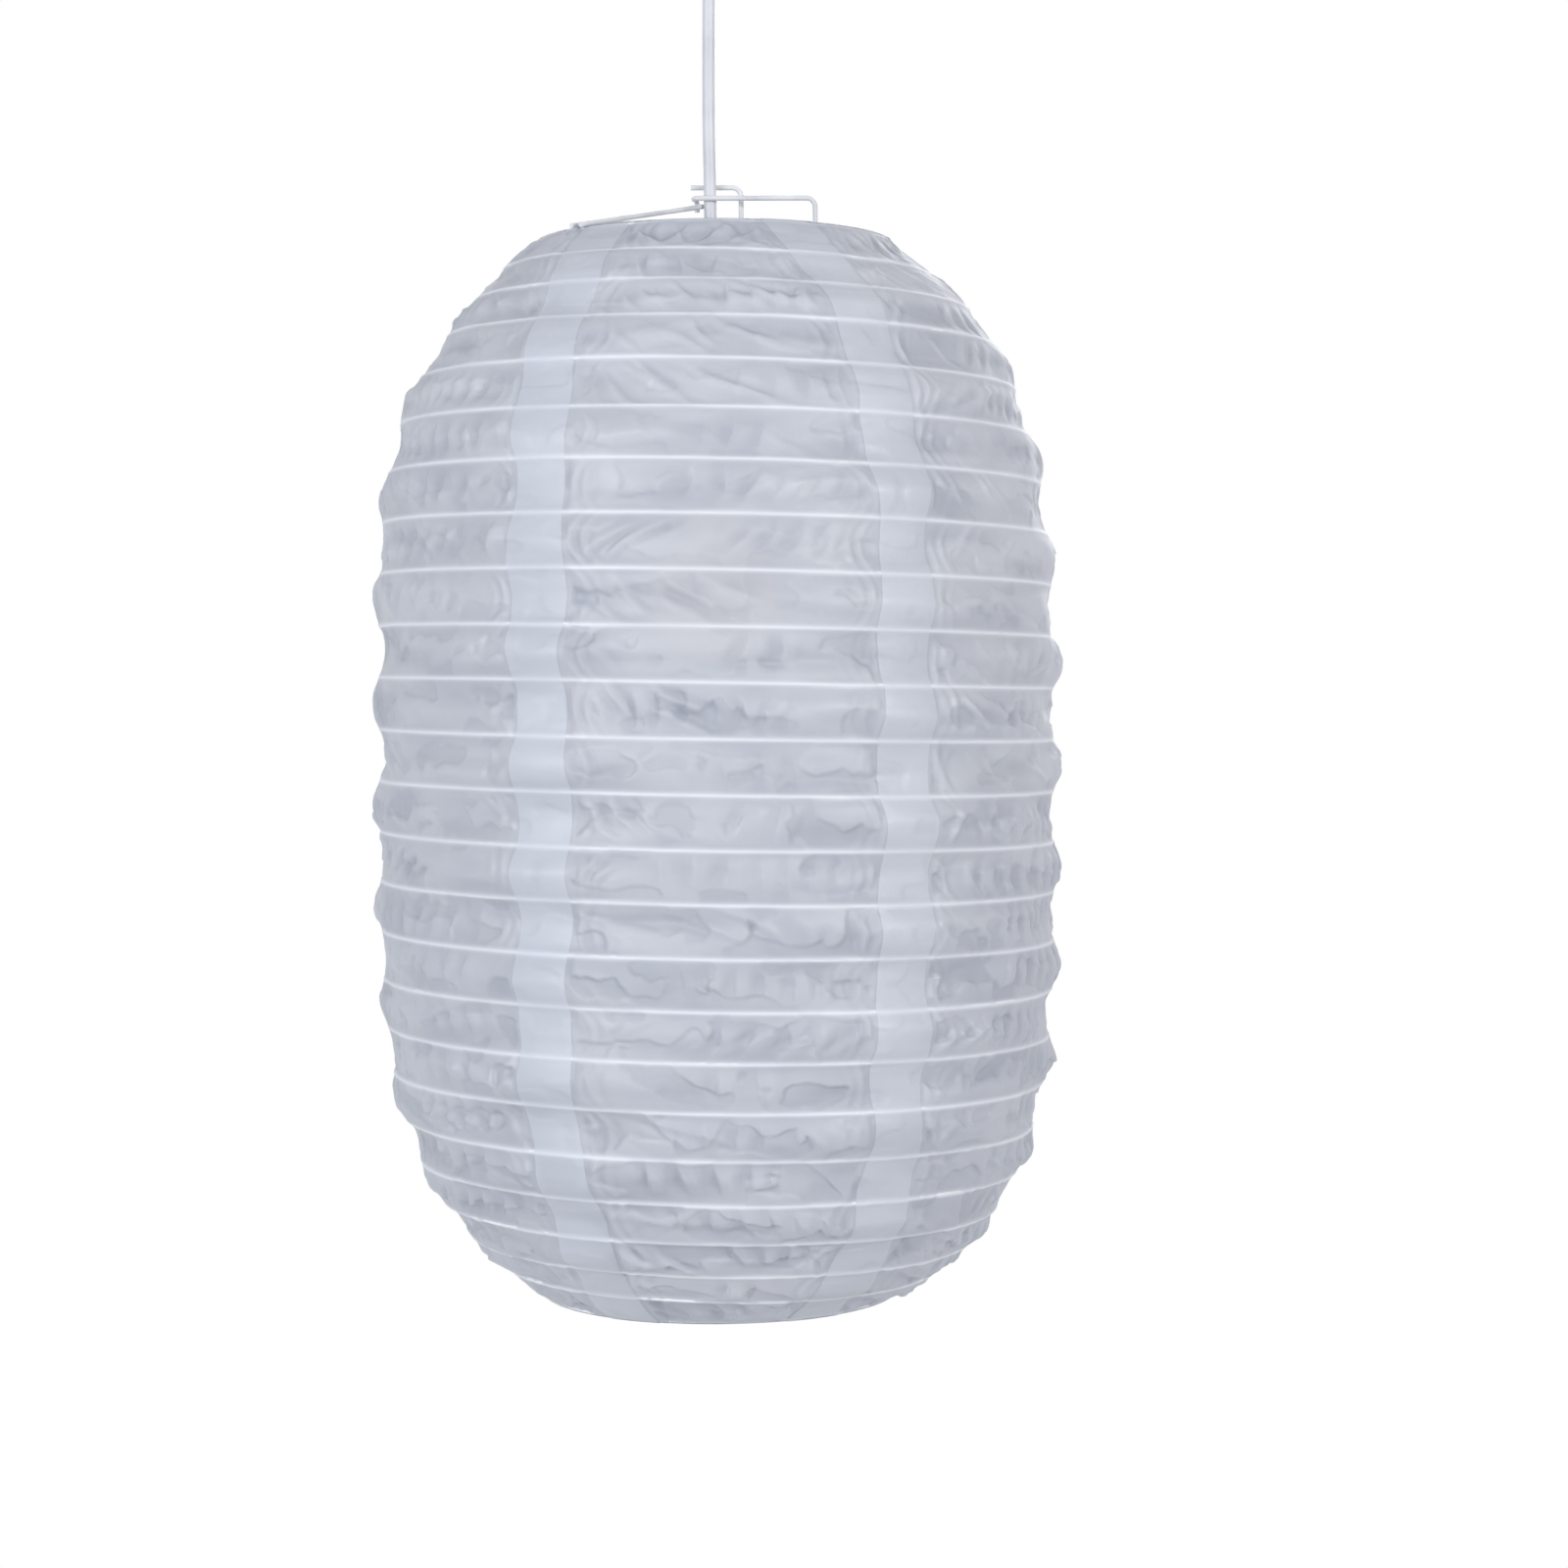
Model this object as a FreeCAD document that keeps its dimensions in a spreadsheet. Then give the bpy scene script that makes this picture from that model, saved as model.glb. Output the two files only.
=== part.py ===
"""Accordion fabric lantern on a pendant cord, as a parametric FreeCAD document.

Millimetres, +Z up. The origin is the centre of the hanging eye at the top of the
cord, and the cord hangs straight down from it. The viewer stands on the -Y side.
An azimuth of 0 points at the viewer (-Y) and grows towards +X.
"""
import FreeCAD
import Part
import Sketcher

import math
import os

from FreeCAD import Placement, Rotation, Vector

SIZES = {
    # lantern body
    "body_height": 372.7,       # from rim plane to rim plane
    "body_radius": 119.3,       # of the widest rib, to the middle of its wire
    "top_rim_radius": 62.5,
    "bottom_rim_radius": 62.5,
    "upper_power": 4.3,         # of the profile: more is flatter at the middle
    "upper_root": 1.2,          # less is more conical at the end
    "lower_power": 4.5,
    "lower_root": 1.8,
    "end_band_share": 1.15,     # width of the two end bands, over the bands beside them
    "middle_band_swell": 0.16,  # how much wider the middle bands are
    "upper_band_swell": 0.04,   # and how much more so in the upper half than the lower
    "rib_tilt": 1.3,            # degrees, every rib is lower at +X
    "body_offset": 1.1,         # lantern axis, to the right of the cord
    "shoulder_shift": 3.0,      # how far the upper ribs hang further right
    "shoulder_drop": 28.0,      # of the rib that does so most, below the top rim
    "shoulder_reach": 24.0,
    "rim_wire": 1.0,            # wire radii
    "rib_wire": 0.6,
    "fold_share": 0.1,          # folded height over open height
    # fabric
    "fabric_thickness": 0.35,
    "fabric_clearance": 0.25,
    "seam_gap": 0.3,            # between neighbouring gores, under their tape
    "tape_width": 20.0,
    "tape_thickness": 0.3,
    "tape_clearance": 0.15,
    "first_seam": -29.0,        # azimuth of the first seam, degrees
    # wire stretcher
    "frame_wire": 0.9,
    "weld_gap": 0.1,            # between wires that are welded or rest on each other
    "rim_drop": 17.2,           # from the clasp on the cord down to the top rim
    "front_arm_reach": 37.2,    # from the cord to the leg of the front arm
    "front_arm_level": -0.5,    # above the clasp
    "back_arm_reach": 10.9,
    "back_arm_tail": 7.0,       # the part on the other side of the cord
    "back_arm_level": 4.2,
    "rim_arm_azimuth": -45.0,
    "hook_clearance": 0.2,      # round the front arm's hook, in the rim arm's loop
    "rim_arm_clearance": 0.4,   # from its inner loop to the cord's other wires
    "rim_arm_loop_turn": 30.0,  # of that loop, behind the cord's left side, degrees
    "rim_arm_level": -2.8,      # of its inner loop, above the clasp
    "arm_bend": 3.2,            # bend radii
    "tight_bend": 1.8,
    # sliding foot
    "sleeve_radius": 2.6,
    "sleeve_height": 9.0,
    "sleeve_clearance": 0.08,
    "foot_bow_depth": 33.0,     # how far the bar bows out behind the bulb
    "foot_bow_half_width": 29.0,
    "foot_bow_top_half_width": 20.0,
    "foot_bow_bend": 8.0,
    "leg_toe": 6.0,
    # cord and its fittings
    "cord_radius": 2.25,
    "cord_drop": 94.0,          # from the hanging eye down to the clasp
    "cord_clearance": 0.15,
    "cord_bend_share": 0.45,    # of a straight run, taken up by the bend at its end
    "eye_bore": 4.0,
    "eye_radius": 8.0,
    "eye_web": 1.5,             # between the bore and the ferrule's end
    "eye_thickness": 3.0,
    "ferrule_radius": 3.6,
    "ferrule_end": 18.0,        # below the eye's centre
    "ferrule_depth": 9.0,       # of the hole that takes the cord
    "stop_radius": 9.5,
    "stop_height": 6.0,
    # lampholder, measured down from the clasp
    "socket_top": 58.0,
    "socket_cap_height": 22.0,
    "socket_neck_radius": 5.5,
    "socket_neck_height": 4.0,
    "socket_radius": 14.0,
    "socket_wall": 1.6,
    "socket_shell_height": 29.0,
    "core_depth": 2.0,          # below the top of the shell
    "core_height": 5.0,
    "core_clearance": 0.1,
    "liner_clearance": 0.08,    # round the bulb's cap
    "liner_wall": 0.55,
    "liner_height": 21.5,
    "contact_radius": 2.5,
    "contact_height": 1.3,
    "cord_tail": 5.0,           # cord inside the lampholder's cap
    # bulb
    "bulb_drop": 142.0,         # of the globe's centre, below the clasp
    "globe_radius": 22.5,
    "globe_wall": 1.0,
    "globe_neck_radius": 10.0,
    "globe_neck_rise": 31.5,    # from the globe's centre to the end of its neck
    "bulb_cap_radius": 6.97,
    "bulb_cap_height": 22.1,
    "bulb_tip_radius": 2.3,
    "bulb_tip_height": 0.7,
    "bulb_flange_height": 1.5,
    "bulb_fit": 0.05,
    # cutters
    "overrun": 4.0,             # how far a cutter passes the face it opens
}

BAND_COUNT = 24
GORE_COUNT = 6
PROFILE_STEPS = 2000

# The cord's route: x and z of each point, below the ferrule and past the clasp.
CORD_BOW = ((-0.7, -62.0), (0.05, -96.0))

document = FreeCAD.newDocument("lantern")
parts = []


# ---------------------------------------------------------------- sheets
def fill_sheet(label, values):
    """Make a sheet whose cells hold plain numbers under word aliases."""
    sheet = document.addObject("Spreadsheet::Sheet", label)
    for row, (alias, value) in enumerate(values.items(), start=1):
        sheet.set(f"A{row}", alias)
        sheet.set(f"B{row}", str(value))
        sheet.setAlias(f"B{row}", alias)
    document.recompute()
    return sheet


sizes = fill_sheet("Sizes", SIZES)


def size(alias):
    return float(getattr(sizes, alias))


# ---------------------------------------------------------------- levels
CLASP = -size("cord_drop")
TOP_RIM = CLASP - size("rim_drop")
BOTTOM_RIM = TOP_RIM - size("body_height")
WIRE = size("frame_wire")
WELD = size("weld_gap")


# ---------------------------------------------------------------- rings
def profile_radius(drop):
    """Radius of the ribs' envelope at this drop below the top rim.

    Each half is a superellipse whose half axis is such that it ends at its rim.
    """
    half_height = size("body_height") / 2
    half = "upper" if drop < half_height else "lower"
    rim = size("top_rim_radius") if half == "upper" else size("bottom_rim_radius")
    power = size(half + "_power")
    root = size(half + "_root")
    at_rim = 1 - (rim / size("body_radius")) ** root
    share = at_rim * abs(drop / half_height - 1) ** power
    return size("body_radius") * (1 - share) ** (1 / root)


def band_share(band):
    """Width of a band of cloth, as a share of the narrowest one."""
    if band in (0, BAND_COUNT - 1):
        return size("end_band_share")
    along = (band - 0.5) / (BAND_COUNT - 2)
    swell = size("middle_band_swell") * math.sin(math.pi * along)
    lopsided = size("upper_band_swell") * math.sin(2 * math.pi * along)
    return 1 + swell + lopsided


def ring_stations():
    """(drop, radius) of each ring, spaced along the profile by the bands' widths."""
    step = size("body_height") / PROFILE_STEPS
    drops = [step * index for index in range(PROFILE_STEPS + 1)]
    radii = [profile_radius(drop) for drop in drops]
    lengths = [0.0]
    for index in range(PROFILE_STEPS):
        run = math.hypot(step, radii[index + 1] - radii[index])
        lengths.append(lengths[-1] + run)
    shares = [band_share(band) for band in range(BAND_COUNT)]
    stations = []
    index = 0
    for band in range(BAND_COUNT + 1):
        wanted = lengths[-1] * sum(shares[:band]) / sum(shares)
        while index < PROFILE_STEPS and lengths[index] < wanted:
            index += 1
        stations.append((drops[index], radii[index]))
    return stations


STATIONS = ring_stations()


def is_rim(ring):
    return ring in (0, BAND_COUNT)


def shift_at(ring, drop):
    """How far this ring hangs to the right of the body's axis."""
    if is_rim(ring):
        return 0.0
    away = (drop - size("shoulder_drop")) / size("shoulder_reach")
    return size("shoulder_shift") * math.exp(-away ** 2)


def ring_alias(ring, what):
    return f"ring_{ring:02d}_{what}"


def ring_table():
    """The worked-out place of each ring, for the expressions of the ring objects."""
    table = {}
    for ring, (drop, radius) in enumerate(STATIONS):
        table[ring_alias(ring, "drop")] = round(drop, 4)
        table[ring_alias(ring, "radius")] = round(radius, 4)
        table[ring_alias(ring, "shift")] = round(shift_at(ring, drop), 4)
    return table


rings = fill_sheet("Rings", ring_table())


def ring_value(ring, what):
    return float(getattr(rings, ring_alias(ring, what)))


def ring_drop(ring):
    return ring_value(ring, "drop")


def ring_radius(ring):
    return ring_value(ring, "radius")


def ring_wire(ring):
    return size("rim_wire") if is_rim(ring) else size("rib_wire")


def ring_place(ring):
    """Rims lie level. Every rib is tipped a little, down towards +X."""
    tilt = 0.0 if is_rim(ring) else size("rib_tilt")
    across = size("body_offset") + ring_value(ring, "shift")
    centre = Vector(across, 0, TOP_RIM - ring_drop(ring))
    return Placement(centre, Rotation(Vector(0, 1, 0), tilt))


def ring_label(ring):
    if ring == 0:
        return "top_rim"
    if ring == BAND_COUNT:
        return "bottom_rim"
    return f"rib_{ring:02d}"


def make_ring(ring):
    torus = document.addObject("Part::Torus", ring_label(ring))
    wire = "rim_wire" if is_rim(ring) else "rib_wire"
    torus.setExpression("Radius1", "Rings." + ring_alias(ring, "radius"))
    torus.setExpression("Radius2", "Sizes." + wire)
    torus.Placement = ring_place(ring)
    shift = "Rings." + ring_alias(ring, "shift")
    torus.setExpression("Placement.Base.x", f"Sizes.body_offset + {shift}")
    drop = "Rings." + ring_alias(ring, "drop")
    torus.setExpression("Placement.Base.z", f"-Sizes.cord_drop - Sizes.rim_drop - {drop}")
    parts.append(torus)


# ---------------------------------------------------------------- fabric
def band_lean(band):
    """Cosine of the angle between this band of cloth and the vertical."""
    rise = ring_drop(band + 1) - ring_drop(band)
    run = ring_radius(band + 1) - ring_radius(band)
    return rise / math.hypot(rise, run)


def ring_lean(ring):
    """The flatter of the two bands that meet at this ring."""
    bands = [band for band in (ring - 1, ring) if 0 <= band < BAND_COUNT]
    return min(band_lean(band) for band in bands)


def layer_radius(ring, stand_off):
    """Radius at this ring of a layer that stands this far out from the wire."""
    return ring_radius(ring) + (ring_wire(ring) + stand_off) / ring_lean(ring)


def ring_point(ring, radius, azimuth):
    turn = math.radians(azimuth)
    local = Vector(radius * math.sin(turn), -radius * math.cos(turn), 0)
    return ring_place(ring).multVec(local)


def strip_section(ring, azimuth, half_angle, stand_off, thickness):
    """Closed outline of a curved strip's cross-section at one ring."""
    inner = layer_radius(ring, stand_off)
    outer = layer_radius(ring, stand_off + thickness)
    start = azimuth - half_angle
    end = azimuth + half_angle
    edges = [
        Part.Arc(
            ring_point(ring, outer, start),
            ring_point(ring, outer, azimuth),
            ring_point(ring, outer, end),
        ).toShape(),
        Part.makeLine(ring_point(ring, outer, end), ring_point(ring, inner, end)),
        Part.Arc(
            ring_point(ring, inner, end),
            ring_point(ring, inner, azimuth),
            ring_point(ring, inner, start),
        ).toShape(),
        Part.makeLine(ring_point(ring, inner, start), ring_point(ring, outer, start)),
    ]
    return Part.Wire(edges)


def make_strip(label, azimuth, half_angle_at, stand_off, thickness):
    """A strip of cloth from rim to rim, flat between each ring and the next."""
    sections = [
        strip_section(ring, azimuth, half_angle_at(ring), stand_off, thickness)
        for ring in range(BAND_COUNT + 1)
    ]
    strip = document.addObject("Part::Feature", label)
    strip.Shape = Part.makeLoft(sections, True, True)
    parts.append(strip)


def gore_half_angle(ring):
    gap = math.degrees(size("seam_gap") / 2 / ring_radius(ring))
    return 180.0 / GORE_COUNT - gap


def tape_half_angle(ring):
    return math.degrees(size("tape_width") / 2 / ring_radius(ring))


def make_fabric():
    pitch = 360.0 / GORE_COUNT
    tape_stand_off = (
        size("fabric_clearance") + size("fabric_thickness") + size("tape_clearance")
    )
    for index in range(GORE_COUNT):
        seam = size("first_seam") + pitch * index
        make_strip(
            f"gore_{index + 1}",
            seam + pitch / 2,
            gore_half_angle,
            size("fabric_clearance"),
            size("fabric_thickness"),
        )
        make_strip(
            f"seam_tape_{index + 1}",
            seam,
            tape_half_angle,
            tape_stand_off,
            size("tape_thickness"),
        )


# ---------------------------------------------------------------- bent rods
def corner_arc(before, corner, after, radius):
    """Tangent arc that rounds a corner, with its first and last point."""
    to_before = (before - corner).normalize()
    to_after = (after - corner).normalize()
    half_turn = (math.pi - to_before.getAngle(to_after)) / 2
    setback = radius * math.tan(half_turn)
    start = corner + to_before * setback
    end = corner + to_after * setback
    bisector = (to_before + to_after).normalize()
    centre = corner + bisector * (radius / math.cos(half_turn))
    middle = centre - bisector * radius
    return start, end, Part.Arc(start, middle, end).toShape()


def bent_path(points, radii):
    """Straight runs through these points, joined by tangent arcs of these radii."""
    edges = []
    here = points[0]
    for index, radius in enumerate(radii, start=1):
        corner = corner_arc(points[index - 1], points[index], points[index + 1], radius)
        start, end, arc = corner
        edges.append(Part.makeLine(here, start))
        edges.append(arc)
        here = end
    edges.append(Part.makeLine(here, points[-1]))
    return Part.Wire(edges)


def make_rod(label, points, radii, radius_alias):
    """Sweep a round section along a bent path."""
    path = document.addObject("Part::Feature", label + "_path")
    path.Shape = bent_path(points, radii)
    section = document.addObject("Part::Circle", label + "_section")
    section.setExpression("Radius", "Sizes." + radius_alias)
    facing = Rotation(Vector(0, 0, 1), points[1] - points[0])
    section.Placement = Placement(points[0], facing)
    rod = document.addObject("Part::Sweep", label)
    rod.Sections = [section]
    rod.Spine = (path, [f"Edge{index + 1}" for index in range(len(path.Shape.Edges))])
    rod.Solid = True
    rod.Frenet = False
    document.recompute()
    volume = math.pi * size(radius_alias) ** 2 * path.Shape.Length
    if abs(rod.Shape.Volume / volume - 1) > 0.01:
        raise ValueError(f"{label}: the sweep's volume doesn't match its path")
    parts.append(rod)


# ---------------------------------------------------------------- stretcher
FRONT = -(size("cord_radius") + WIRE + WELD)
BACK = -FRONT
FRONT_LEG = Vector(size("front_arm_reach"), FRONT, 0)
BACK_LEG = Vector(size("back_arm_reach"), BACK, 0)
ALONG = (FRONT_LEG - BACK_LEG).normalize()
BEHIND = Vector(-ALONG.y, ALONG.x, 0)
LEG_LINE = FRONT_LEG.dot(BEHIND)
LEG_REACH = FRONT_LEG.dot(ALONG)
BAR_LINE = LEG_LINE + 2 * WIRE + WELD
FOOT_LINE = LEG_LINE + size("sleeve_radius") + WIRE + WELD / 2
BAR_LEVEL = TOP_RIM - size("rim_wire") - WIRE - WELD
FOOT_LEVEL = BOTTOM_RIM + size("rim_wire") + WIRE + WELD
TOE_LEVEL = BOTTOM_RIM
LEFT_LEG = ALONG * -LEG_REACH + BEHIND * LEG_LINE
SLEEVE_LEVEL = TOE_LEVEL + size("tight_bend") + WELD
ARM_HALF_GAP = 2 * WIRE + size("hook_clearance")    # from the rim arm's middle to a strand


def at_level(point, level):
    return Vector(point.x, point.y, level)


def frame_point(reach, line, level):
    """A point given along and behind the stretcher's own plane."""
    return at_level(ALONG * reach + BEHIND * line, level)


def rim_crossing(line, radius, side):
    """Where a bar on this line meets a circle about the lantern's axis."""
    centre = Vector(size("body_offset"), 0, 0)
    offset = line - centre.dot(BEHIND)
    return centre.dot(ALONG) + side * math.sqrt(radius ** 2 - offset ** 2)


def make_front_arm():
    """From its hook in the rim arm's loop, past the cord, and down as a leg."""
    level = CLASP + size("front_arm_level")
    loop = rim_arm_loop()
    turn_x = loop.x - size("tight_bend")
    points = [
        at_level(loop, CLASP + size("rim_arm_level") - 2 * WIRE),
        at_level(loop, level),
        Vector(turn_x, FRONT, level),
        at_level(FRONT_LEG, level),
        at_level(FRONT_LEG, TOE_LEVEL),
        at_level(FRONT_LEG + ALONG * size("leg_toe"), TOE_LEVEL),
    ]
    radii = [
        size("tight_bend"),
        size("tight_bend"),
        size("arm_bend"),
        size("tight_bend"),
    ]
    make_rod("stretcher_front_arm", points, radii, "frame_wire")


def make_back_arm():
    """A short arm behind the cord that ends beside the cross bar."""
    level = CLASP + size("back_arm_level")
    points = [
        Vector(-size("back_arm_tail"), BACK, level),
        at_level(BACK_LEG, level),
        at_level(BACK_LEG, BAR_LEVEL - WIRE),
    ]
    make_rod("stretcher_back_arm", points, [size("arm_bend")], "frame_wire")


def make_cross_bar():
    radius = size("top_rim_radius") + size("rim_wire")
    points = [
        frame_point(rim_crossing(BAR_LINE, radius, -1), BAR_LINE, BAR_LEVEL),
        frame_point(rim_crossing(BAR_LINE, radius, 1), BAR_LINE, BAR_LEVEL),
    ]
    make_rod("stretcher_cross_bar", points, [], "frame_wire")


def make_left_leg():
    points = [
        at_level(LEFT_LEG, BAR_LEVEL + WIRE),
        at_level(LEFT_LEG, TOE_LEVEL),
        at_level(LEFT_LEG - ALONG * size("leg_toe"), TOE_LEVEL),
    ]
    make_rod("stretcher_left_leg", points, [size("tight_bend")], "frame_wire")


def rim_arm_loop():
    """Middle of the rim arm's inner loop, close behind the cord's left side."""
    turn = math.radians(size("rim_arm_loop_turn"))
    reach = size("cord_radius") + size("rim_arm_clearance") + WIRE + ARM_HALF_GAP
    return Vector(-reach * math.cos(turn), reach * math.sin(turn), 0)


def make_rim_arm():
    """A hairpin: its loop is at the cord, and its two ends hook over the top rim."""
    azimuth = math.radians(size("rim_arm_azimuth"))
    outward = Vector(math.sin(azimuth), -math.cos(azimuth), 0)
    centre = Vector(size("body_offset"), 0, 0)
    over = size("rim_wire") + WIRE + WELD
    seat = at_level(centre + outward * size("top_rim_radius"), TOP_RIM + over)
    loop = at_level(rim_arm_loop(), CLASP + size("rim_arm_level"))
    inward = (loop - seat).normalize()
    aside = inward.cross(Vector(0, 0, 1)).normalize() * ARM_HALF_GAP
    crown = loop + inward * ARM_HALF_GAP
    tip = seat + outward * (2 * over) - Vector(0, 0, WIRE)
    points = [
        tip - aside,
        seat - aside,
        crown - aside,
        crown + aside,
        seat + aside,
        tip + aside,
    ]
    crown_bend = ARM_HALF_GAP - WELD
    radii = [size("arm_bend"), crown_bend, crown_bend, size("arm_bend")]
    make_rod("rim_arm", points, radii, "frame_wire")


def make_foot_bar():
    """It lies across the bottom rim and bows out behind the bulb."""
    radius = size("bottom_rim_radius")
    wide = size("foot_bow_half_width")
    narrow = size("foot_bow_top_half_width")
    depth = size("foot_bow_depth")
    points = [
        frame_point(rim_crossing(FOOT_LINE, radius, -1), FOOT_LINE, FOOT_LEVEL),
        frame_point(-wide, FOOT_LINE, FOOT_LEVEL),
        frame_point(-narrow, depth, FOOT_LEVEL),
        frame_point(narrow, depth, FOOT_LEVEL),
        frame_point(wide, FOOT_LINE, FOOT_LEVEL),
        frame_point(rim_crossing(FOOT_LINE, radius, 1), FOOT_LINE, FOOT_LEVEL),
    ]
    radii = [size("foot_bow_bend")] * 4
    make_rod("foot_bar", points, radii, "frame_wire")


# ---------------------------------------------------------------- turned pieces
def make_turned(label, outline, centre):
    """Revolve an outline of (radius, height) expressions about the piece's own axis.

    centre is the place of the outline's zero height, as a point.
    """
    body = document.addObject("PartDesign::Body", label)
    sketch = body.newObject("Sketcher::SketchObject", label + "_outline")
    roles = {plane.Role: plane for plane in body.Origin.OriginFeatures}
    sketch.AttachmentSupport = (roles["XZ_Plane"], [""])
    sketch.MapMode = "FlatFace"
    corners = [Vector(evaluate(radius), evaluate(height), 0) for radius, height in outline]
    count = len(corners)
    for index in range(count):
        line = Part.LineSegment(corners[index], corners[(index + 1) % count])
        sketch.addGeometry(line)
    for index in range(count):
        following = (index + 1) % count
        sketch.addConstraint(Sketcher.Constraint("Coincident", index, 2, following, 1))
    for index, (radius, height) in enumerate(outline):
        bind_corner(sketch, index, "DistanceX", radius)
        bind_corner(sketch, index, "DistanceY", height)
    turned = body.newObject("PartDesign::Revolution", label + "_turned")
    turned.Profile = sketch
    turned.ReferenceAxis = (sketch, ["V_Axis"])
    turned.Angle = 360
    body.Placement = Placement(centre, Rotation())
    document.recompute()
    parts.append(body)


def bind_corner(sketch, index, kind, expression):
    """Tie one coordinate of an outline's corner to its expression."""
    if expression == "0":
        axis = -2 if kind == "DistanceX" else -1
        sketch.addConstraint(Sketcher.Constraint("PointOnObject", index, 1, axis))
        return
    value = evaluate(expression)
    number = sketch.addConstraint(Sketcher.Constraint(kind, -1, 1, index, 1, value))
    sketch.setExpression(f"Constraints[{number}]", bound_sum(expression))


def bound_sum(expression):
    """The same sum, with each size's name made a reference to the sheet."""
    words = expression.split()
    return " ".join("Sizes." + word if word in SIZES else word for word in words)


def evaluate(expression):
    """Value of a sum such as 'socket_radius - socket_wall'."""
    total = 0.0
    sign = 1.0
    for word in expression.split():
        if word in ("+", "-"):
            sign = 1.0 if word == "+" else -1.0
        else:
            total += sign * (size(word) if word in SIZES else float(word))
    return total


def tube_outline(bore, outer, height):
    return [(bore, "0"), (outer, "0"), (outer, height), (bore, height)]


def solid_outline(radius, height):
    return [("0", "0"), (radius, "0"), (radius, height), ("0", height)]


def make_foot_sleeves():
    outline = tube_outline("frame_wire + sleeve_clearance", "sleeve_radius", "sleeve_height")
    make_turned("foot_sleeve_right", outline, at_level(FRONT_LEG, SLEEVE_LEVEL))
    make_turned("foot_sleeve_left", outline, at_level(LEFT_LEG, SLEEVE_LEVEL))


# ---------------------------------------------------------------- cord and fittings
SOCKET_TOP = CLASP - size("socket_top")
SHELL_TOP = SOCKET_TOP - size("socket_cap_height")
CORE_BOTTOM = SHELL_TOP - size("core_depth") - size("core_height")
GLOBE_CENTRE = CLASP - size("bulb_drop")
NECK_END = GLOBE_CENTRE + size("globe_neck_rise")


def on_axis(level):
    return Vector(0, 0, level)


def make_cord():
    """Pulled straight by the lamp's weight, with a trace of its old curl."""
    points = [on_axis(size("ferrule_depth") - size("ferrule_end") - WELD)]
    points += [Vector(x, 0, z) for x, z in CORD_BOW]
    points.append(on_axis(SOCKET_TOP - size("cord_tail")))
    radii = []
    for index in range(1, len(points) - 1):
        before = points[index] - points[index - 1]
        after = points[index + 1] - points[index]
        shorter = min(before.Length, after.Length)
        setback = size("cord_bend_share") * shorter
        radii.append(setback / math.tan(before.getAngle(after) / 2))
    print("cord bend radii:", [round(radius) for radius in radii])
    make_rod("cord", points, radii, "cord_radius")
    print("cord length:", round(document.getObject("cord_path").Shape.Length, 2))


def add_cylinder(label, radius, height, place):
    """A cylinder whose radius and height are sums of named sizes."""
    cylinder = document.addObject("Part::Cylinder", label)
    cylinder.setExpression("Radius", bound_sum(radius))
    cylinder.setExpression("Height", bound_sum(height))
    cylinder.Placement = place
    return cylinder


def make_hanging_eye():
    """A flat eye on a crimped ferrule that holds the end of the cord."""
    across = Rotation(Vector(1, 0, 0), -90)
    start = Vector(0, -size("eye_thickness") / 2, 0)
    lobe = add_cylinder("eye_lobe", "eye_radius", "eye_thickness", Placement(start, across))
    ferrule_place = Placement(on_axis(-size("ferrule_end")), Rotation())
    ferrule = add_cylinder(
        "eye_ferrule", "ferrule_radius", "ferrule_end - eye_bore - eye_web", ferrule_place
    )
    before = start - Vector(0, size("overrun"), 0)
    bore = add_cylinder(
        "eye_hole", "eye_bore", "eye_thickness + overrun + overrun", Placement(before, across)
    )
    cord_hole = add_cylinder(
        "ferrule_hole", "cord_radius + cord_clearance", "ferrule_depth", ferrule_place
    )
    holes = document.addObject("Part::Fuse", "eye_holes")
    holes.Base = bore
    holes.Tool = cord_hole
    blank = document.addObject("Part::Fuse", "eye_blank")
    blank.Base = lobe
    blank.Tool = ferrule
    eye = document.addObject("Part::Cut", "hanging_eye")
    eye.Base = blank
    eye.Tool = holes
    parts.append(eye)


def make_cord_stop():
    """A clamped bush that the stretcher's cross bar rests on."""
    level = BAR_LEVEL - WIRE - WELD - size("stop_height")
    outline = tube_outline("cord_radius + cord_clearance", "stop_radius", "stop_height")
    make_turned("cord_stop", outline, on_axis(level))


def make_socket():
    hole = "cord_radius + cord_clearance"
    height = "socket_cap_height"
    cap = [
        ("socket_radius - socket_wall", "0"),
        ("socket_radius", "0"),
        ("socket_radius", height + " - socket_neck_height - socket_neck_height"),
        ("socket_neck_radius", height + " - socket_neck_height"),
        ("socket_neck_radius", height),
        (hole, height),
        (hole, height + " - socket_neck_height"),
        (
            "socket_radius - socket_wall",
            height + " - socket_neck_height - socket_neck_height - socket_wall",
        ),
    ]
    make_turned("socket_cap", cap, on_axis(SHELL_TOP))
    shell = tube_outline("socket_radius - socket_wall", "socket_radius", "socket_shell_height")
    make_turned("socket_shell", shell, on_axis(SHELL_TOP - size("socket_shell_height")))
    core = solid_outline("socket_radius - socket_wall - core_clearance", "core_height")
    make_turned("socket_core", core, on_axis(CORE_BOTTOM))
    bore = "bulb_cap_radius + liner_clearance"
    liner = tube_outline(bore, bore + " + liner_wall", "liner_height")
    make_turned("socket_liner", liner, on_axis(CORE_BOTTOM - size("liner_height")))
    contact = solid_outline("contact_radius", "contact_height")
    make_turned("socket_contact", contact, on_axis(CORE_BOTTOM - size("contact_height")))


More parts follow.
